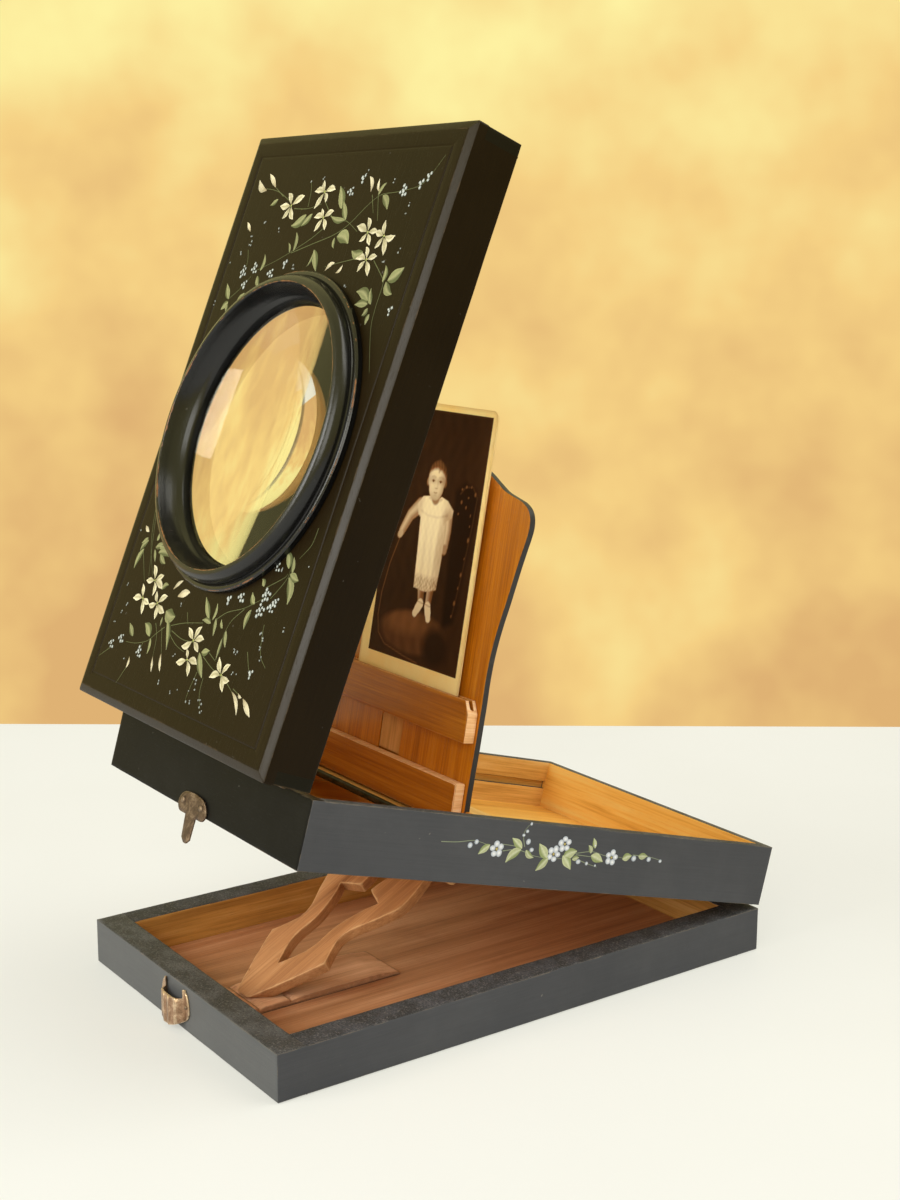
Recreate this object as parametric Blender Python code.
"""Folding graphoscope: a lens panel and a picture stand on a tray that tilts over a shallow base.

Every piece is drawn in the closed box, with the picture stand upright and the strut folded up,
and the frames then open the box to its standing pose. x runs across, y from the front to the
rear, z up, and the origin is the middle of the base's underside. Lengths are in metres.
"""
import math

import bmesh
import bpy
from mathutils import Matrix, Vector

# Box as a whole
LENGTH = 0.220
WIDTH = 0.1405
SEAM = 0.0001
GAP = 0.0003
BOX_GAP = 0.0008
OVERRUN = 0.002
EDGE_ROUND = 0.0004

# Angles of the open pose, in degrees
TRAY_TILT = 15.83
PANEL_ANGLE = 83.72
STAND_LEAN = 5.8

# Base
BASE_HEIGHT = 0.0174
BASE_RIM = 0.0111
BASE_FLOOR = 0.0036

# Rack strip on the base floor
RACK_HALF_WIDTH = 0.0120
RACK_OFFSET = 0.0025
RACK_THICKNESS = 0.0019
RACK_LENGTH = 0.0745
RACK_TAPER = 0.0090
RACK_TIP = 0.0006
NOTCH_DEPTH = 0.0011
NOTCH_WIDTH = 0.0030
NOTCH_FIRST = 0.0135
NOTCH_PITCH = 0.0130
NOTCH_COUNT = 2

# Tray
TRAY_HEIGHT = 0.0238
TRAY_WALL = 0.0044
TRAY_FLOOR = 0.0035
GROOVE_BOTTOM = 0.0117
GROOVE_HEIGHT = 0.0032
GROOVE_DEPTH = 0.0020
GROOVE_STOP = 0.0040

# Lens panel
PANEL_HEIGHT = 0.0196
PANEL_WALL = 0.0044
PANEL_BOARD = 0.0050
PANEL_OVERHANG = 0.0004
PANEL_BEVEL_WIDTH = 0.0032
PANEL_BEVEL_HEIGHT = 0.0014

# Lens, its turned ring and its retainer
LENS_OFFSET = -0.0010
LENS_RADIUS = 0.0498
LENS_EDGE = 0.0015
LENS_SAG = 0.0055
LENS_CLEARANCE = 0.0005
RING_SPIGOT_DEPTH = 0.0033
RING_SPIGOT_WALL = 0.0020
RING_WIDTH = 0.0102
RING_HEIGHT = 0.0078
RETAINER_LAND = 0.0042
RETAINER_LIP = 0.0026
RETAINER_THICKNESS = 0.0024

# Butt hinges
HINGE_LENGTH = 0.0220
HINGE_INSET = 0.0162
LEAF_LAND = 0.0004
LEAF_THICKNESS = 0.0007
LEAF_LIFT = 0.0001
MORTISE_CLEARANCE = 0.0002
KNUCKLE_RADIUS = 0.0011
KNUCKLE_OUT = 0.0014
KNUCKLE_BORE = 0.0006
KNUCKLE_LENGTH = 0.0074
HINGE_PIN_RADIUS = 0.0004

# Catch tongue on the tray and keeper on the base
CATCH_OFFSET = -0.0018
CATCH_THICKNESS = 0.0008
CATCH_PLATE_HALF_WIDTH = 0.0102
CATCH_PLATE_TOP = 0.0067
CATCH_PLATE_DROP = 0.0016
TONGUE_HALF_WIDTH = 0.0036
TONGUE_TIP_HALF_WIDTH = 0.0028
TONGUE_DROP = 0.0114
TONGUE_POINT = 0.0016
CATCH_NAIL_RADIUS = 0.0012
CATCH_NAIL_HEIGHT = 0.0007
CATCH_NAIL_SPREAD = 0.0066
CATCH_NAIL_HEIGHT_ON_PLATE = 0.0029
KEEPER_HALF_WIDTH = 0.0104
KEEPER_SHEET = 0.0007
KEEPER_BULGE_HALF_WIDTH = 0.0072
KEEPER_BULGE = 0.0033
KEEPER_RIB = 0.0005
KEEPER_RIB_COUNT = 3
KEEPER_BOTTOM = 0.0016
KEEPER_TOP = 0.0160
KEEPER_SLEEVE_TOP = 0.0128
KEEPER_NAIL_RADIUS = 0.0008
KEEPER_NAIL_HEIGHT = 0.0005
KEEPER_NAIL_LEVEL = 0.0100

# Strut that props the tray
STRUT_OFFSET = 0.0010
STRUT_THICKNESS = 0.0044
STRUT_LENGTH = 0.0830
STRUT_END = 0.0029
STRUT_HALF_WIDTH = 0.0248
STRUT_PIVOT_FROM_FRONT = 0.0963
STRUT_PIVOT_DROP = 0.0086
STRUT_FOOT_LAND = 0.0005
STRUT_AXLE_RADIUS = 0.0011
STRUT_LUG_WIDTH = 0.0045
STRUT_LUG_CHEEK = 0.0016

# Carriage that carries the stand along the tray
CARRIAGE_THICKNESS = 0.0024
CARRIAGE_FRONT = 0.0085
CARRIAGE_REAR = 0.0380
NOSING_RADIUS = 0.0015
STAND_LUG_WIDTH = 0.0040
STAND_LUG_HALF_DEPTH = 0.0030
STAND_LUG_CROWN = 0.0022
STAND_PIN_RADIUS = 0.0006
STAND_PIN_BITE = 0.0060

# Picture stand
STAND_FACE_FROM_FRONT = 0.0805
STAND_THICKNESS = 0.0026
STAND_PIVOT_HEIGHT = 0.0190
STAND_BOTTOM = 0.0152
STAND_TOP = 0.1480
STAND_CLEARANCE = 0.0035
CHANNEL_DEPTH = 0.0014
CHANNEL_HALF_WIDTH = 0.0070
CHANNEL_FLARE = 0.0006
CHANNEL_TOP = 0.0640
TONGUE_STRIP_OFFSET = -0.0017
TONGUE_STRIP_BOTTOM = 0.0312

# Ledges that hold the picture
LEDGE_SET_IN = 0.0002
LOWER_LEDGE_SET_IN = 0.0012
LEDGE_THICKNESS = 0.0045
LEDGE_HEIGHT = 0.0152
LEDGE_CHAMFER_ACROSS = 0.0026
LEDGE_CHAMFER_DOWN = 0.0048
LOWER_LEDGE_TOP = 0.0308
UPPER_LEDGE_TOP = 0.0610
SLOT_WIDTH = 0.0013
SLOT_DEPTH = 0.0034
SLOT_FROM_BOARD = 0.0023

# Picture card
CARD_WIDTH = 0.0657
CARD_LENGTH = 0.1055
CARD_THICKNESS = 0.0006
CARD_OFFSET = 0.0065
CARD_CORNER = 0.0030

# Shapes, as shares of the sizes above
STAND_LOW_EDGE_SHARES = [(0.802, 0.090), (0.812, 0.210), (0.817, 0.320), (0.816, 0.410), (0.831, 0.490),
                         (0.862, 0.563), (0.900, 0.633), (0.940, 0.713), (0.985, 0.790)]
STAND_SHOULDER_SHARES = [(0.985, 0.790), (1.000, 0.826), (0.992, 0.856), (0.958, 0.878), (0.900, 0.892)]
STAND_CROWN_SHARES = [(0.900, 0.892), (0.815, 0.901), (0.735, 0.911), (0.655, 0.929), (0.500, 0.962), (0.250, 0.990),
                      (0.000, 1.000)]
STRUT_FLARE_SHARES = [(0.157, 0.000), (0.323, 0.077), (0.556, 0.198), (0.782, 0.329)]
STRUT_NECK_SHARES = [(0.782, 0.329), (0.702, 0.365), (0.629, 0.404), (0.548, 0.464), (0.581, 0.522), (0.681, 0.5735),
                     (0.8145, 0.6325)]
STRUT_LOBE_CENTRE_SHARES = (0.560, 0.759)
STRUT_LOBE_RADIUS_SHARE = 0.427
STRUT_LOBE_TAPER_SHARE = 0.30
STRUT_LOBE_START = -40.0
STRUT_LOBE_END = 188.0
STRUT_INSIDE_SHARES = [(0.528, 0.702), (0.415, 0.6445), (0.3185, 0.5675), (0.262, 0.500), (0.258, 0.440),
                       (0.266, 0.3975), (0.238, 0.343), (0.161, 0.289), (0.000, 0.211)]
CATCH_PLATE_SHARES = [(0.00, 1.00), (0.30, 0.96), (0.62, 0.90), (0.86, 0.68), (1.00, 0.36), (0.98, 0.02), (0.82, -0.22),
                      (0.60, -0.24)]
KEEPER_OUTLINE_SHARES = [(0.00, 0.00), (0.38, 0.05), (0.78, 0.20), (1.00, 0.42), (0.97, 0.68), (0.86, 0.90), (0.70, 1.00)]
RING_OUTSIDE_SHARES = [(0.000, 0.000), (0.000, 0.230), (0.060, 0.305), (0.160, 0.325), (0.200, 0.295), (0.225, 0.350),
                       (0.235, 0.560), (0.290, 0.780), (0.395, 0.930), (0.500, 0.990), (0.570, 1.000)]
RING_INSIDE_SHARES = [(0.610, 0.965), (0.655, 0.780), (0.705, 0.560), (0.770, 0.330), (0.850, 0.120)]

# Fineness of round shapes
RING_STEPS = 72
LENS_RINGS = 6
PIN_STEPS = 16
CURVE_STEPS = 4
CORNER_STEPS = 5
BULGE_STEPS = 18
NAIL_RINGS = 3

# Places that follow from the sizes
FRONT = -LENGTH / 2
REAR = LENGTH / 2
SIDE = WIDTH / 2
TRAY_Z = BASE_HEIGHT + BOX_GAP
TRAY_TOP = TRAY_Z + TRAY_HEIGHT
PANEL_Z = TRAY_TOP + BOX_GAP
PANEL_FACE = PANEL_Z + PANEL_HEIGHT
PANEL_BACK = PANEL_FACE - PANEL_BOARD
LEAF_WIDTH = min(TRAY_WALL, PANEL_WALL) - LEAF_LAND - MORTISE_CLEARANCE
REAR_AXIS = Vector((0, REAR + KNUCKLE_OUT, BASE_HEIGHT + BOX_GAP / 2))
FRONT_AXIS = Vector((0, FRONT - KNUCKLE_OUT, TRAY_TOP + BOX_GAP / 2))
TRAY_INSIDE = SIDE - TRAY_WALL
STAND_HALF_WIDTH = TRAY_INSIDE - STAND_CLEARANCE
STAND_FOOT_HALF_WIDTH = STAND_LOW_EDGE_SHARES[0][0] * STAND_HALF_WIDTH
LEDGE_HALF_LENGTH = STAND_FOOT_HALF_WIDTH - LEDGE_SET_IN
HINGE_MIDDLE = SIDE - HINGE_INSET - HINGE_LENGTH / 2
LENS_OPENING = LENS_RADIUS + LENS_CLEARANCE
RING_SPIGOT_RADIUS = LENS_OPENING - GAP
RING_THROAT_RADIUS = RING_SPIGOT_RADIUS - RING_SPIGOT_WALL
RING_RADIUS = RING_THROAT_RADIUS + RING_WIDTH
RETAINER_RADIUS = LENS_OPENING + RETAINER_LAND
RETAINER_SEAT_RADIUS = LENS_OPENING + GAP
RETAINER_BORE = LENS_RADIUS - RETAINER_LIP
GROOVE_Z = TRAY_Z + GROOVE_BOTTOM
CARRIAGE_Z = GROOVE_Z + (GROOVE_HEIGHT - CARRIAGE_THICKNESS) / 2
CARRIAGE_TOP = CARRIAGE_Z + CARRIAGE_THICKNESS
LEAN = math.radians(STAND_LEAN)
STAND_AXIS = Vector((
    0,
    FRONT + STAND_FACE_FROM_FRONT - STAND_PIVOT_HEIGHT * math.sin(LEAN) + STAND_THICKNESS / 2 * math.cos(LEAN),
    TRAY_Z + STAND_PIVOT_HEIGHT * math.cos(LEAN) + STAND_THICKNESS / 2 * math.sin(LEAN)))
STAND_FRONT = STAND_AXIS.y - STAND_THICKNESS / 2
STAND_FOOT = STAND_AXIS.z - STAND_PIVOT_HEIGHT
LEDGE_BACK = STAND_FRONT - SEAM
SLOT_Y = STAND_FRONT - SLOT_FROM_BOARD
STRUT_AXIS = Vector((STRUT_OFFSET, FRONT + STRUT_PIVOT_FROM_FRONT, TRAY_Z - STRUT_PIVOT_DROP))
RACK_FRONT = FRONT + BASE_RIM + SEAM
RACK_TOP = BASE_FLOOR + SEAM + RACK_THICKNESS


def strut_swing():
    """Angle that swings the strut down from the tray until its foot stands just over the rack."""
    tilt = math.radians(TRAY_TILT)
    reach = STRUT_AXIS - REAR_AXIS
    pin_height = REAR_AXIS.z - reach.y * math.sin(tilt) + reach.z * math.cos(tilt)
    rise = pin_height - RACK_TOP - GAP
    slope = math.asin(rise / STRUT_LENGTH)
    for _ in range(8):
        toe = (STRUT_THICKNESS / 2 - STRUT_FOOT_LAND) * math.cos(slope)
        slope = math.asin((rise + toe) / STRUT_LENGTH)
    return slope + tilt


class Frame:
    """A frame that opens with the box: an empty on the joint's axis, where the drawn pieces hang."""

    def __init__(self, name, origin, parent=None, turn=0.0):
        self.origin = Vector(origin)
        self.empty = bpy.data.objects.new(name, None)
        bpy.context.collection.objects.link(self.empty)
        self.empty.location = self.origin
        if parent:
            self.empty.parent = parent.empty
            self.empty.location = self.origin - parent.origin
        self.empty.rotation_euler.x = turn


def finish(name, colour, roughness, metallic=0.0, transmission=0.0):
    """A plain Principled material."""
    material = bpy.data.materials.new(name)
    material.use_nodes = True
    shader = material.node_tree.nodes["Principled BSDF"]
    shader.inputs["Base Color"].default_value = (*colour, 1.0)
    shader.inputs["Roughness"].default_value = roughness
    shader.inputs["Metallic"].default_value = metallic
    shader.inputs["Transmission Weight"].default_value = transmission
    return material


def piece(name, shape, frame, material):
    """Turn a bmesh drawn in the closed box into a named object that hangs on its frame."""
    bmesh.ops.recalc_face_normals(shape, faces=shape.faces)
    mesh = bpy.data.meshes.new(name)
    shape.to_mesh(mesh)
    shape.free()
    mesh.transform(Matrix.Translation(-frame.origin))
    if material:
        mesh.materials.append(material)
    thing = bpy.data.objects.new(name, mesh)
    bpy.context.collection.objects.link(thing)
    thing.parent = frame.empty
    return thing


def smooth_shading(thing):
    """Shade a round piece smooth, with its real corners kept sharp."""
    thing.data.shade_smooth()
    thing.data.set_sharp_from_angle(angle=math.radians(38))


def soften(thing, width=EDGE_ROUND):
    """Break the edges of a sawn piece."""
    bevel = thing.modifiers.new("Edges", "BEVEL")
    bevel.width = width
    bevel.segments = 1
    bevel.limit_method = "ANGLE"
    bevel.angle_limit = math.radians(50)


def cut(thing, cutter):
    """Cut one piece with a hidden cutter."""
    cutter.hide_render = True
    cutter.display_type = "WIRE"
    modifier = thing.modifiers.new("Cut", "BOOLEAN")
    modifier.operation = "DIFFERENCE"
    modifier.object = cutter
    modifier.solver = "EXACT"


def add_block(shape, low, high):
    """Add a rectangular block between two corners to a bmesh."""
    size = Vector(high) - Vector(low)
    middle = (Vector(high) + Vector(low)) / 2
    matrix = Matrix.Translation(middle) @ Matrix.Diagonal((*size, 1.0))
    bmesh.ops.create_cube(shape, size=1.0, matrix=matrix)


def block(name, low, high, frame, material):
    """A rectangular piece between two corners."""
    shape = bmesh.new()
    add_block(shape, low, high)
    return piece(name, shape, frame, material)


def prism(name, outline, axis, start, end, frame, material):
    """Sweep a closed outline along x, y or z. The outline holds the two other coordinates in order."""
    def corner(point, along):
        values = list(point)
        values.insert("xyz".index(axis), along)
        return values

    shape = bmesh.new()
    near = [shape.verts.new(corner(point, start)) for point in outline]
    far = [shape.verts.new(corner(point, end)) for point in outline]
    shape.faces.new(near)
    shape.faces.new(reversed(far))
    for index in range(len(outline)):
        after = (index + 1) % len(outline)
        shape.faces.new((near[index], far[index], far[after], near[after]))
    return piece(name, shape, frame, material)


def rod(name, radius, axis, centre, start, end, frame, material, steps=PIN_STEPS):
    """A round rod along x, y or z through the point centre of the two other coordinates."""
    outline = [(centre[0] + radius * math.cos(turn), centre[1] + radius * math.sin(turn))
               for turn in (2 * math.pi * step / steps for step in range(steps))]
    made = prism(name, outline, axis, start, end, frame, material)
    smooth_shading(made)
    return made


def turned(name, profile, middle, frame, material, steps=RING_STEPS, closed=True):
    """Turn a profile of (radius, height) points round an upright line through middle."""
    shape = bmesh.new()
    rings = []
    for radius, height in profile:
        if radius == 0:
            rings.append([shape.verts.new((middle[0], middle[1], middle[2] + height))] * steps)
            continue
        ring = []
        for step in range(steps):
            turn = 2 * math.pi * step / steps
            ring.append(shape.verts.new((middle[0] + radius * math.cos(turn), middle[1] + radius * math.sin(turn),
                                         middle[2] + height)))
        rings.append(ring)
    pairs = len(rings) if closed else len(rings) - 1
    for index in range(pairs):
        lower, upper = rings[index], rings[(index + 1) % len(rings)]
        for step in range(steps):
            after = (step + 1) % steps
            corners = []
            for vertex in (lower[step], lower[after], upper[after], upper[step]):
                if vertex not in corners:
                    corners.append(vertex)
            shape.faces.new(corners)
    made = piece(name, shape, frame, material)
    smooth_shading(made)
    return made


def curve_through(points, steps=CURVE_STEPS):
    """A smooth curve through hand-placed points, without its last point."""
    padded = [points[0], *points, points[-1]]
    curve = []
    for index in range(1, len(padded) - 2):
        p0, p1, p2, p3 = (Vector(padded[index + shift]) for shift in (-1, 0, 1, 2))
        for step in range(steps):
            t = step / steps
            curve.append(tuple(0.5 * (2 * p1 + (p2 - p0) * t + (2 * p0 - 5 * p1 + 4 * p2 - p3) * t ** 2
                                      + (3 * p1 - p0 - 3 * p2 + p3) * t ** 3)))
    return curve


def scaled(shares, across, along, origin=(0.0, 0.0)):
    """Points given in shares, as real places from an origin."""
    return [(origin[0] + share[0] * across, origin[1] + share[1] * along) for share in shares]


def mirrored(half, middle=0.0):
    """A whole outline from its right half, whose ends lie on the middle line or mirror each other."""
    other = [(2 * middle - x, z) for x, z in reversed(half) if abs(x - middle) > 1e-9]
    return half + other


def box_walls(prefix, names, low, high, wall, frame, material):
    """Four walls of a box: front and rear across its whole width, and the sides between them."""
    x0, y0, z0 = low
    x1, y1, z1 = high
    places = [((x0, y0, z0), (x1, y0 + wall, z1)),
              ((x0, y1 - wall, z0), (x1, y1, z1)),
              ((x0, y0 + wall + SEAM, z0), (x0 + wall, y1 - wall - SEAM, z1)),
              ((x1 - wall, y0 + wall + SEAM, z0), (x1, y1 - wall - SEAM, z1))]
    walls = []
    for name, (near, far) in zip(names, places):
        wall_piece = block(prefix + name, near, far, frame, material)
        soften(wall_piece)
        walls.append(wall_piece)
    return walls


def hinge_leaf(name, axis, inward, upward, notches, frame, material):
    """A hinge leaf: a plate in its mortise, rolled into a knuckle except where notches says, as (start, end)."""
    plate_end = KNUCKLE_OUT + LEAF_WIDTH
    near, far = LEAF_LIFT, LEAF_LIFT + LEAF_THICKNESS
    start = math.asin(far / KNUCKLE_RADIUS)
    stop = 2 * math.pi + math.asin(near / KNUCKLE_RADIUS)
    arc = [(KNUCKLE_RADIUS * math.cos(turn), KNUCKLE_RADIUS * math.sin(turn))
           for turn in (start + (stop - start) * step / PIN_STEPS for step in range(PIN_STEPS + 1))]
    profile = [(plate_end, far), *arc, (plate_end, near)]
    outline = [(axis.y + inward * across, axis.z + upward * up) for across, up in profile]
    half = HINGE_LENGTH / 2
    leaf = prism(name, outline, "x", axis.x - half, axis.x + half, frame, material)
    reach = KNUCKLE_RADIUS + OVERRUN
    sides = sorted((axis.y - inward * reach, axis.y + inward * (KNUCKLE_OUT + GAP)))
    shape = bmesh.new()
    for notch_start, notch_end in notches:
        add_block(shape, (axis.x + notch_start, sides[0], axis.z - reach),
                  (axis.x + notch_end, sides[1], axis.z + reach))
    cut(leaf, piece(name + "_notch", shape, frame, None))
    cut(leaf, rod(name + "_bore", KNUCKLE_BORE, "x", (axis.y, axis.z), axis.x - half - OVERRUN,
                  axis.x + half + OVERRUN, frame, None))
    return leaf


def mortise(wall, axis, inward, upward, face_z, frame):
    """Cut the shallow seat of a hinge leaf into a wall's face."""
    half = HINGE_LENGTH / 2 + MORTISE_CLEARANCE
    depth_z = axis.z + upward * (LEAF_LIFT + LEAF_THICKNESS + MORTISE_CLEARANCE)
    outer = axis.y
    inner = axis.y + inward * (KNUCKLE_OUT + LEAF_WIDTH + MORTISE_CLEARANCE)
    face = face_z - upward * OVERRUN
    shape = bmesh.new()
    add_block(shape, (axis.x - half, min(outer, inner), min(face, depth_z)),
              (axis.x + half, max(outer, inner), max(face, depth_z)))
    cut(wall, piece(wall.name + "_mortise", shape, frame, None))


def butt_hinge(name, axis, inward, lower, upper, brass):
    """A butt hinge: a lower leaf with two knuckles, an upper leaf with one, and a pin.

    lower and upper are (piece's body word, frame, wall, height of the wall's face)."""
    middle = KNUCKLE_LENGTH / 2
    end = HINGE_LENGTH / 2 + OVERRUN
    mortise(lower[2], axis, inward, -1, lower[3], lower[1])
    mortise(upper[2], axis, inward, 1, upper[3], upper[1])
    hinge_leaf(name + "_" + lower[0] + "_leaf", axis, inward, -1, [(-middle - GAP, middle + GAP)], lower[1], brass)
    hinge_leaf(name + "_" + upper[0] + "_leaf", axis, inward, 1, [(-end, -middle), (middle, end)], upper[1], brass)
    rod(name + "_pin", HINGE_PIN_RADIUS, "x", (axis.y, axis.z), axis.x - HINGE_LENGTH / 2,
        axis.x + HINGE_LENGTH / 2, lower[1], brass)


def nail(name, x, y, z, radius, height, frame, material):
    """A domed nail head on a face that looks to the front."""
    profile = [(radius * math.sin(math.pi / 2 * step / NAIL_RINGS), height * math.cos(math.pi / 2 * step / NAIL_RINGS))
               for step in range(NAIL_RINGS + 1)]
    head = turned(name, [*profile, (0, 0)], (0, 0, 0), Frame(name + "_seat", (0, 0, 0)), material, PIN_STEPS, False)
    head.data.transform(Matrix.Translation(Vector((x, y, z)) - frame.origin) @ Matrix.Rotation(math.pi / 2, 4, "X"))
    bpy.data.objects.remove(head.parent)
    head.parent = frame.empty
    return head


def make_base(frame, looks):
    """Shallow base: a wide black frame round a wooden floor."""
    walls = box_walls("base_", ("front_rail", "rear_rail", "left_rail", "right_rail"),
                      (-SIDE, FRONT, 0), (SIDE, REAR, BASE_HEIGHT), BASE_RIM, frame, looks["ebonised"])
    inside = BASE_RIM + SEAM
    block("base_floor", (-SIDE + inside, FRONT + inside, 0), (SIDE - inside, REAR - inside, BASE_FLOOR), frame,
          looks["floor"])
    return walls


def make_rack(frame, looks):
    """Notched strip that the strut's foot stands on."""
    bottom = BASE_FLOOR + SEAM
    outline = [(RACK_FRONT, bottom), (RACK_FRONT, RACK_TOP)]
    for number in range(NOTCH_COUNT):
        steep = RACK_FRONT + NOTCH_FIRST + number * NOTCH_PITCH
        outline += [(steep, RACK_TOP), (steep, RACK_TOP - NOTCH_DEPTH), (steep + NOTCH_WIDTH, RACK_TOP)]
    end = RACK_FRONT + RACK_LENGTH
    outline += [(end - RACK_TAPER, RACK_TOP), (end, bottom + RACK_TIP), (end, bottom)]
    prism("rack_strip", outline, "x", RACK_OFFSET - RACK_HALF_WIDTH, RACK_OFFSET + RACK_HALF_WIDTH, frame,
          looks["floor"])


def make_tray(frame, looks):
    """Open tray with a groove along each side wall for the carriage."""
    walls = box_walls("tray_", ("front_wall", "rear_wall", "left_wall", "right_wall"),
                      (-SIDE, FRONT, TRAY_Z), (SIDE, REAR, TRAY_TOP), TRAY_WALL, frame, looks["ebonised"])
    inside = TRAY_WALL + SEAM
    block("tray_floor", (-SIDE + inside, FRONT + inside, TRAY_Z), (SIDE - inside, REAR - inside, TRAY_Z + TRAY_FLOOR),
          frame, looks["floor"])
    for wall, way in ((walls[2], -1), (walls[3], 1)):
        reach = (way * (TRAY_INSIDE - OVERRUN), way * (TRAY_INSIDE + GROOVE_DEPTH))
        shape = bmesh.new()
        add_block(shape, (min(reach), FRONT + TRAY_WALL - OVERRUN, GROOVE_Z),
                  (max(reach), REAR - TRAY_WALL - GROOVE_STOP, GROOVE_Z + GROOVE_HEIGHT))
        cut(wall, piece(wall.name + "_groove", shape, frame, None))
    return walls


def make_catch(tray, base, looks):
    """Brass tongue on the tray and the ribbed keeper on the base that it slides into."""
    half = CATCH_PLATE_HALF_WIDTH
    right = scaled(CATCH_PLATE_SHARES, half, CATCH_PLATE_TOP, (CATCH_OFFSET, TRAY_Z))
    tongue = [(CATCH_OFFSET + TONGUE_HALF_WIDTH, TRAY_Z - CATCH_PLATE_DROP),
              (CATCH_OFFSET + TONGUE_TIP_HALF_WIDTH, TRAY_Z - TONGUE_DROP + TONGUE_POINT),
              (CATCH_OFFSET + TONGUE_TIP_HALF_WIDTH / 4, TRAY_Z - TONGUE_DROP)]
    outline = mirrored(curve_through(right, 2) + [right[-1]] + tongue, CATCH_OFFSET)
    back = FRONT - SEAM
    prism("catch_tongue", outline, "y", back - CATCH_THICKNESS, back, tray, looks["brass"])
    for word, way in (("left", -1), ("right", 1)):
        nail("catch_nail_" + word, CATCH_OFFSET + way * CATCH_NAIL_SPREAD, back - CATCH_THICKNESS - SEAM,
             TRAY_Z + CATCH_NAIL_HEIGHT_ON_PLATE, CATCH_NAIL_RADIUS, CATCH_NAIL_HEIGHT, tray, looks["brass"])
        nail("keeper_nail_" + word, CATCH_OFFSET + way * (KEEPER_HALF_WIDTH + KEEPER_BULGE_HALF_WIDTH) / 2,
             back - KEEPER_SHEET - SEAM, KEEPER_NAIL_LEVEL, KEEPER_NAIL_RADIUS, KEEPER_NAIL_HEIGHT, base,
             looks["keeper"])
    make_keeper(base, looks, back)


def make_keeper(frame, looks, back):
    """Sheet keeper: flat wings on the base and a ribbed sleeve between them, open at the top."""
    outer, inner = [], []
    for step in range(BULGE_STEPS + 1):
        share = -1 + 2 * step / BULGE_STEPS
        x = CATCH_OFFSET + share * KEEPER_BULGE_HALF_WIDTH
        arch = KEEPER_BULGE * (1 - share ** 4)
        rib = KEEPER_RIB * (1 - math.cos(math.pi * (KEEPER_RIB_COUNT + 1) * (share + 1))) / 2
        outer.append((x, back - KEEPER_SHEET - arch - rib))
        inner.append((x, back - arch))
    left, right = CATCH_OFFSET - KEEPER_HALF_WIDTH, CATCH_OFFSET + KEEPER_HALF_WIDTH
    section = [(left, back), (left, back - KEEPER_SHEET), *outer, (right, back - KEEPER_SHEET), (right, back),
               *reversed(inner)]
    keeper = prism("catch_keeper", section, "z", KEEPER_BOTTOM, KEEPER_TOP, frame, looks["keeper"])
    depth = KEEPER_BULGE + KEEPER_RIB + KEEPER_SHEET + OVERRUN
    tall = KEEPER_TOP - KEEPER_BOTTOM
    half = curve_through(scaled(KEEPER_OUTLINE_SHARES, KEEPER_HALF_WIDTH, tall, (CATCH_OFFSET, KEEPER_BOTTOM)), 2)
    top = KEEPER_OUTLINE_SHARES[-1][0] * KEEPER_HALF_WIDTH
    shield = mirrored([*half, (CATCH_OFFSET + top, KEEPER_TOP + OVERRUN)], CATCH_OFFSET)
    trim = prism("catch_keeper_shield", shield, "y", back - depth, back + OVERRUN, frame, None)
    trim.hide_render = True
    trim.display_type = "WIRE"
    keep = keeper.modifiers.new("Shield", "BOOLEAN")
    keep.operation = "INTERSECT"
    keep.object = trim
    keep.solver = "EXACT"
    mouth = bmesh.new()
    add_block(mouth, (CATCH_OFFSET - KEEPER_BULGE_HALF_WIDTH, back - depth, KEEPER_SLEEVE_TOP),
              (CATCH_OFFSET + KEEPER_BULGE_HALF_WIDTH, back - KEEPER_SHEET - GAP, KEEPER_TOP + OVERRUN))
    cut(keeper, piece("catch_keeper_mouth", mouth, frame, None))


def make_panel(frame, looks):
    """Lens panel: the box's lid, with a bevelled front board."""
    top = PANEL_BACK - SEAM
    walls = box_walls("panel_", ("hinge_wall", "free_wall", "left_wall", "right_wall"),
                      (-SIDE, FRONT, PANEL_Z), (SIDE, REAR, top), PANEL_WALL, frame, looks["ebonised"])
    out = PANEL_OVERHANG
    level = PANEL_FACE - PANEL_BEVEL_HEIGHT
    shape = bmesh.new()
    rings = []
    for inset, z in ((0.0, PANEL_BACK), (0.0, level), (PANEL_BEVEL_WIDTH, PANEL_FACE)):
        x, y = SIDE + out - inset, REAR + out - inset
        rings.append([shape.verts.new(corner) for corner in ((-x, -y, z), (x, -y, z), (x, y, z), (-x, y, z))])
    shape.faces.new(rings[0])
    shape.faces.new(rings[-1])
    for lower, upper in zip(rings, rings[1:]):
        for side in range(4):
            after = (side + 1) % 4
            shape.faces.new((lower[side], lower[after], upper[after], upper[side]))
    board = piece("panel_board", shape, frame, looks["ebonised"])
    cut(board, rod("panel_board_opening", LENS_OPENING, "z", (0, LENS_OFFSET), PANEL_BACK - OVERRUN,
                   PANEL_FACE + OVERRUN, frame, None, RING_STEPS))
    return walls


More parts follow.
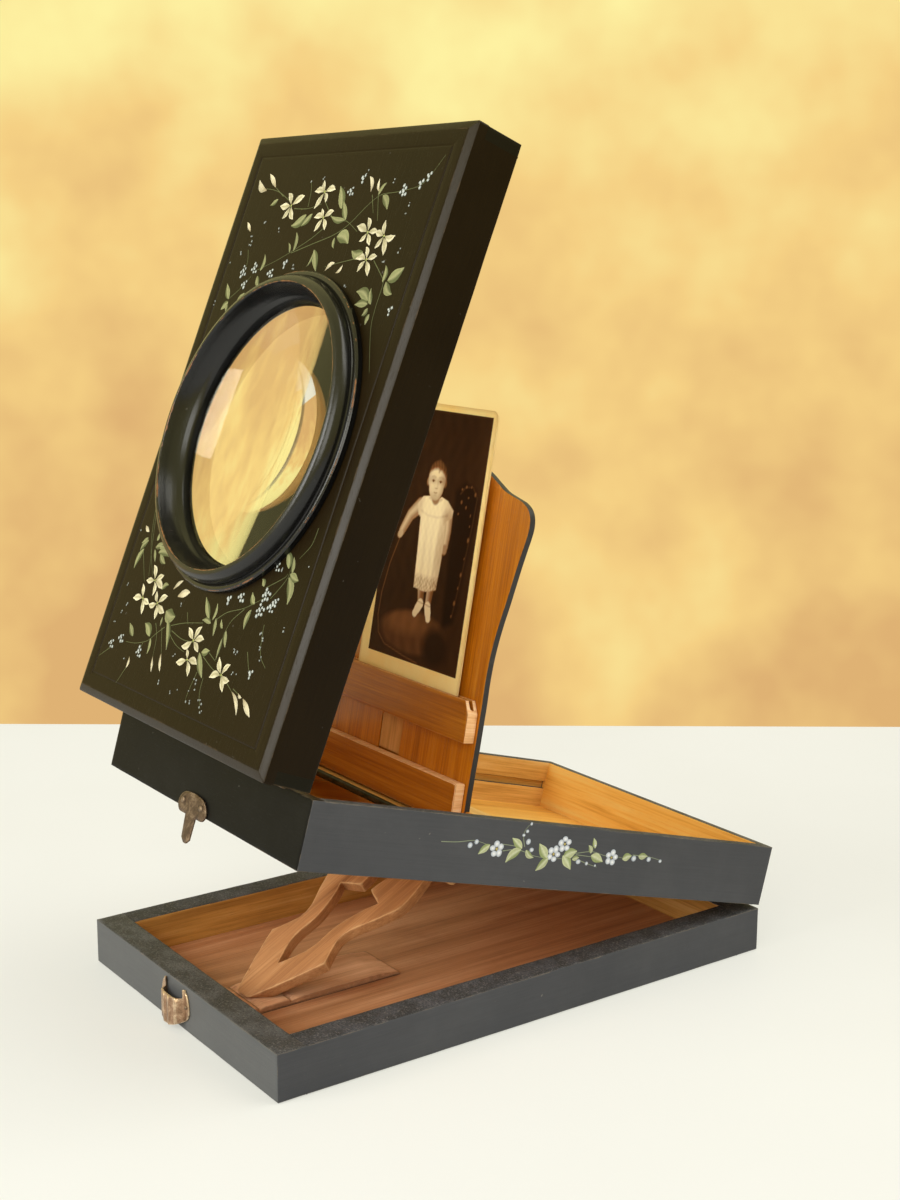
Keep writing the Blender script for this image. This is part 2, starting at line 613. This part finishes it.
def make_lens(frame, looks):
    """Turned ring on the board's face, the lens behind its spigot, and the retainer behind the lens."""
    outside = [(RING_RADIUS - across * RING_WIDTH, SEAM + up * (RING_HEIGHT - SEAM)) for across, up in RING_OUTSIDE_SHARES]
    inside = [(RING_RADIUS - across * RING_WIDTH, up * RING_HEIGHT) for across, up in RING_INSIDE_SHARES]
    profile = [(RING_SPIGOT_RADIUS, SEAM), *outside, *inside,
               (RING_THROAT_RADIUS, -RING_SPIGOT_DEPTH), (RING_SPIGOT_RADIUS, -RING_SPIGOT_DEPTH)]
    face = (0, LENS_OFFSET, PANEL_FACE)
    turned("lens_ring", profile, face, frame, looks["ebonised"])
    sphere = (LENS_RADIUS ** 2 + LENS_SAG ** 2) / (2 * LENS_SAG)

    def rise(radius):
        return LENS_SAG - sphere + math.sqrt(sphere ** 2 - radius ** 2)

    front_edge = -RING_SPIGOT_DEPTH - rise(RING_THROAT_RADIUS) - SEAM
    back_edge = front_edge - LENS_EDGE
    radii = [LENS_RADIUS * number / LENS_RINGS for number in range(LENS_RINGS + 1)]
    lens = [(radius, front_edge + rise(radius)) for radius in radii]
    lens += [(radius, back_edge - rise(radius)) for radius in reversed(radii)]
    turned("lens", lens, face, frame, looks["glass"], closed=False)
    seat = -PANEL_BOARD - SEAM
    lip = back_edge - rise(RETAINER_BORE) - SEAM
    retainer = [(RETAINER_RADIUS, seat), (RETAINER_RADIUS, seat - RETAINER_THICKNESS),
                (RETAINER_BORE, seat - RETAINER_THICKNESS), (RETAINER_BORE, lip), (RETAINER_SEAT_RADIUS, lip),
                (RETAINER_SEAT_RADIUS, seat)]
    turned("lens_retainer", retainer, face, frame, looks["floor"])


def make_carriage(frame, looks):
    """Board that slides in the tray's grooves, with a rounded nosing and a lug at each side of the stand."""
    reach = TRAY_INSIDE + GROOVE_DEPTH - GAP
    front = STAND_FRONT - CARRIAGE_FRONT
    carriage = block("carriage_board", (-reach, front, CARRIAGE_Z), (reach, front + CARRIAGE_FRONT + CARRIAGE_REAR,
                                                                     CARRIAGE_TOP), frame, looks["stand"])
    soften(carriage)
    nosing = TRAY_INSIDE - GAP
    nosing_y = front - SEAM
    middle_z = (CARRIAGE_Z + CARRIAGE_TOP) / 2
    arc = [(nosing_y - NOSING_RADIUS * math.cos(turn), middle_z + NOSING_RADIUS * math.sin(turn))
           for turn in (-math.pi / 2 + math.pi * step / CORNER_STEPS for step in range(CORNER_STEPS + 1))]
    smooth_shading(prism("carriage_nosing", arc, "x", -nosing, nosing, frame, looks["ebonised"]))
    foot = STAND_FOOT_HALF_WIDTH
    for word, way in (("left", -1), ("right", 1)):
        near = foot + GAP
        far = near + STAND_LUG_WIDTH
        crown_z = STAND_AXIS.z
        crown = [(STAND_AXIS.y + STAND_LUG_CROWN * math.cos(turn), crown_z + STAND_LUG_CROWN * math.sin(turn))
                 for turn in (math.pi * step / CORNER_STEPS for step in range(CORNER_STEPS + 1))]
        outline = [(STAND_AXIS.y + STAND_LUG_HALF_DEPTH, CARRIAGE_TOP + SEAM), *crown,
                   (STAND_AXIS.y - STAND_LUG_HALF_DEPTH, CARRIAGE_TOP + SEAM)]
        lug = prism("stand_lug_" + word, outline, "x", min(way * near, way * far), max(way * near, way * far), frame,
                    looks["stand"])
        pin_ends = sorted((way * (foot - STAND_PIN_BITE), way * far))
        rod("stand_pin_" + word, STAND_PIN_RADIUS, "x", (STAND_AXIS.y, STAND_AXIS.z), *pin_ends, frame, looks["brass"])
        cut(lug, rod("stand_lug_bore_" + word, STAND_PIN_RADIUS + SEAM, "x", (STAND_AXIS.y, STAND_AXIS.z),
                     min(way * near, way * far) - OVERRUN, max(way * near, way * far) + OVERRUN, frame, None))


def upper_ledge_outline():
    """The upper ledge seen from the front, with its upper corners cut off."""
    z = STAND_FOOT + UPPER_LEDGE_TOP
    return mirrored([(LEDGE_HALF_LENGTH, z - LEDGE_HEIGHT), (LEDGE_HALF_LENGTH, z - LEDGE_CHAMFER_DOWN),
                     (LEDGE_HALF_LENGTH - LEDGE_CHAMFER_ACROSS, z)])


def make_stand(frame, looks):
    """Shaped stand board with a dovetailed channel, and its fixed lower ledge."""
    tall = STAND_TOP - STAND_BOTTOM
    start = (0.0, STAND_FOOT + STAND_BOTTOM)
    spans = [scaled(shares, STAND_HALF_WIDTH, tall, start)
             for shares in (STAND_LOW_EDGE_SHARES, STAND_SHOULDER_SHARES, STAND_CROWN_SHARES)]
    foot = STAND_FOOT_HALF_WIDTH
    half = [(foot, start[1])] + [point for span in spans for point in curve_through(span)] + [spans[-1][-1]]
    rear = STAND_FRONT + STAND_THICKNESS
    board = prism("stand_board", mirrored(half), "y", STAND_FRONT, rear, frame, looks["stand"])
    mouth, floor = CHANNEL_HALF_WIDTH, CHANNEL_HALF_WIDTH + CHANNEL_FLARE
    slope = CHANNEL_FLARE / CHANNEL_DEPTH
    outer = mouth - slope * OVERRUN
    middle = TONGUE_STRIP_OFFSET
    section = [(middle - outer, STAND_FRONT - OVERRUN), (middle + outer, STAND_FRONT - OVERRUN),
               (middle + floor, STAND_FRONT + CHANNEL_DEPTH), (middle - floor, STAND_FRONT + CHANNEL_DEPTH)]
    cut(board, prism("stand_board_channel", section, "z", STAND_FOOT + STAND_BOTTOM - OVERRUN, STAND_FOOT + CHANNEL_TOP,
                     frame, None))
    for word, way in (("left", -1), ("right", 1)):
        ends = sorted((way * (foot - STAND_PIN_BITE - GAP), way * (foot + OVERRUN)))
        cut(board, rod("stand_board_bore_" + word, STAND_PIN_RADIUS + GAP, "x", (STAND_AXIS.y, STAND_AXIS.z), *ends,
                       frame, None))
    long_half, top = foot - LOWER_LEDGE_SET_IN, STAND_FOOT + LOWER_LEDGE_TOP
    lower = block("lower_ledge", (-long_half, LEDGE_BACK - LEDGE_THICKNESS, top - LEDGE_HEIGHT),
                  (long_half, LEDGE_BACK, top), frame, looks["ledge"])
    soften(lower, EDGE_ROUND / 2)


def make_ledge(frame, looks):
    """Upper ledge with the picture's slot, the tongue that it slides on, and the picture."""
    ledge = prism("upper_ledge", upper_ledge_outline(), "y", LEDGE_BACK - LEDGE_THICKNESS, LEDGE_BACK, frame,
                  looks["ledge"])
    top = STAND_FOOT + UPPER_LEDGE_TOP
    slot = bmesh.new()
    reach = LEDGE_HALF_LENGTH + OVERRUN
    add_block(slot, (-reach, SLOT_Y - SLOT_WIDTH / 2, top - SLOT_DEPTH), (reach, SLOT_Y + SLOT_WIDTH / 2, top + OVERRUN))
    cut(ledge, piece("upper_ledge_slot", slot, frame, None))
    mouth = CHANNEL_HALF_WIDTH - GAP
    floor = CHANNEL_HALF_WIDTH + CHANNEL_FLARE - 2 * GAP
    middle = TONGUE_STRIP_OFFSET
    section = [(middle - mouth, STAND_FRONT + SEAM), (middle + mouth, STAND_FRONT + SEAM),
               (middle + floor, STAND_FRONT + CHANNEL_DEPTH - GAP), (middle - floor, STAND_FRONT + CHANNEL_DEPTH - GAP)]
    prism("slide_tongue", section, "z", STAND_FOOT + TONGUE_STRIP_BOTTOM, top, frame, looks["ledge"])
    bottom = top - SLOT_DEPTH + GAP
    half = CARD_WIDTH / 2
    outline = []
    for across, up, quarter in ((1, 0, 3), (1, 1, 0), (-1, 1, 1), (-1, 0, 2)):
        centre = (CARD_OFFSET + across * (half - CARD_CORNER),
                  bottom + CARD_CORNER + up * (CARD_LENGTH - 2 * CARD_CORNER))
        for step in range(CORNER_STEPS + 1):
            turn = (quarter + step / CORNER_STEPS) * math.pi / 2
            outline.append((centre[0] + CARD_CORNER * math.cos(turn), centre[1] + CARD_CORNER * math.sin(turn)))
    prism("picture_card", outline, "y", SLOT_Y - CARD_THICKNESS / 2, SLOT_Y + CARD_THICKNESS / 2, frame, looks["card"])


def make_strut(frame, tray, looks):
    """Lyre-shaped strut, its axle and the two lugs under the tray that hold the axle."""
    foot_y = STRUT_AXIS.y - STRUT_LENGTH
    origin = (0.0, foot_y)
    flare = scaled(STRUT_FLARE_SHARES, STRUT_HALF_WIDTH, STRUT_LENGTH, origin)
    neck = scaled(STRUT_NECK_SHARES, STRUT_HALF_WIDTH, STRUT_LENGTH, origin)
    inside = scaled(STRUT_INSIDE_SHARES, STRUT_HALF_WIDTH, STRUT_LENGTH, origin)
    radius = STRUT_LOBE_RADIUS_SHARE * STRUT_HALF_WIDTH
    centre = scaled([STRUT_LOBE_CENTRE_SHARES], STRUT_HALF_WIDTH, STRUT_LENGTH, origin)[0]
    top_radius = STRUT_AXIS.y + STRUT_END - centre[1]
    steps = 3 * CORNER_STEPS
    lobe = []
    for step in range(steps + 1):
        turn = math.radians(STRUT_LOBE_START + (STRUT_LOBE_END - STRUT_LOBE_START) * step / steps)
        rise = max(math.sin(turn), 0.0)
        height = top_radius if rise else radius
        across = radius * (1 - STRUT_LOBE_TAPER_SHARE * rise)
        lobe.append((centre[0] + across * math.cos(turn), centre[1] + height * math.sin(turn)))
    half = curve_through(flare, 2) + curve_through(neck) + lobe + curve_through(inside) + [inside[-1]]
    outline = [(x + STRUT_OFFSET, y) for x, y in mirrored(half)]
    strut = prism("prop_strut", outline, "z", STRUT_AXIS.z - STRUT_THICKNESS / 2, STRUT_AXIS.z + STRUT_THICKNESS / 2,
                  frame, looks["strut"])
    top, bottom = STRUT_AXIS.z + STRUT_THICKNESS / 2, STRUT_AXIS.z - STRUT_THICKNESS / 2
    bevel_end = foot_y + (STRUT_THICKNESS - STRUT_FOOT_LAND) / math.tan(strut_swing() - math.radians(TRAY_TILT))
    bevel = [(foot_y - OVERRUN, top - STRUT_FOOT_LAND), (foot_y, top - STRUT_FOOT_LAND),
             (bevel_end, bottom), (bevel_end, bottom - OVERRUN), (foot_y - OVERRUN, bottom - OVERRUN)]
    cut(strut, prism("prop_strut_foot", bevel, "x", -STRUT_HALF_WIDTH, STRUT_HALF_WIDTH, frame, None))
    lug_near = STRUT_HALF_WIDTH + GAP
    lug_far = lug_near + STRUT_LUG_WIDTH
    line = (STRUT_AXIS.y, STRUT_AXIS.z)
    cut(strut, rod("prop_strut_bore", STRUT_AXLE_RADIUS + GAP, "x", line, STRUT_OFFSET - lug_near,
                   STRUT_OFFSET + lug_near, frame, None))
    rod("strut_axle", STRUT_AXLE_RADIUS, "x", line, STRUT_OFFSET - lug_far, STRUT_OFFSET + lug_far, tray,
        looks["brass"])
    for word, way in (("left", -1), ("right", 1)):
        ends = sorted((STRUT_OFFSET + way * lug_near, STRUT_OFFSET + way * lug_far))
        half_depth = STRUT_AXLE_RADIUS + STRUT_LUG_CHEEK
        round_end = [(line[0] + half_depth * math.cos(turn), line[1] + half_depth * math.sin(turn))
                     for turn in (math.pi + math.pi * step / CORNER_STEPS for step in range(CORNER_STEPS + 1))]
        seat = TRAY_Z - SEAM
        outline = [(line[0] - 2 * half_depth, seat), *round_end, (line[0] + 2 * half_depth, seat)]
        lug = prism("strut_lug_" + word, outline, "x", *ends, tray, looks["strut"])
        cut(lug, rod("strut_lug_bore_" + word, STRUT_AXLE_RADIUS + SEAM, "x", line, ends[0] - OVERRUN,
                     ends[1] + OVERRUN, tray, None))


def clear_scene():
    """Start from an empty scene."""
    for thing in list(bpy.data.objects):
        bpy.data.objects.remove(thing)


def main():
    """Draw the pieces in the closed box and open it to its standing pose."""
    clear_scene()
    looks = {
        "ebonised": finish("ebonised_wood", (0.020, 0.018, 0.015), 0.30),
        "floor": finish("floor_wood", (0.36, 0.17, 0.07), 0.5),
        "strut": finish("strut_wood", (0.32, 0.15, 0.06), 0.45),
        "stand": finish("stand_wood", (0.46, 0.17, 0.02), 0.4),
        "ledge": finish("ledge_wood", (0.30, 0.09, 0.02), 0.4),
        "brass": finish("dark_brass", (0.14, 0.10, 0.07), 0.5, 0.9),
        "keeper": finish("pale_brass", (0.42, 0.36, 0.24), 0.45, 0.9),
        "glass": finish("lens_glass", (0.95, 0.97, 0.96), 0.02, 0.0, 1.0),
        "card": finish("picture_card", (0.78, 0.62, 0.36), 0.55),
    }
    base = Frame("base_frame", (0, 0, 0))
    tray = Frame("tray_frame", REAR_AXIS, base, -math.radians(TRAY_TILT))
    panel = Frame("panel_frame", FRONT_AXIS, tray, math.radians(PANEL_ANGLE))
    carriage = Frame("carriage_frame", STAND_AXIS, tray)
    stand = Frame("stand_frame", STAND_AXIS, carriage, LEAN)
    ledge = Frame("ledge_frame", STAND_AXIS, stand)
    strut = Frame("strut_frame", STRUT_AXIS, tray, strut_swing())

    base_walls = make_base(base, looks)
    make_rack(base, looks)
    tray_walls = make_tray(tray, looks)
    make_catch(tray, base, looks)
    panel_walls = make_panel(panel, looks)
    make_lens(panel, looks)
    make_carriage(carriage, looks)
    make_stand(stand, looks)
    make_ledge(ledge, looks)
    make_strut(strut, tray, looks)
    for word, way in (("left", -1), ("right", 1)):
        shift = Vector((way * HINGE_MIDDLE, 0, 0))
        butt_hinge("rear_hinge_" + word, REAR_AXIS + shift, -1, ("base", base, base_walls[1], BASE_HEIGHT),
                   ("tray", tray, tray_walls[1], TRAY_Z), looks["brass"])
        butt_hinge("front_hinge_" + word, FRONT_AXIS + shift, 1, ("tray", tray, tray_walls[0], TRAY_TOP),
                   ("panel", panel, panel_walls[0], PANEL_Z), looks["brass"])


main()
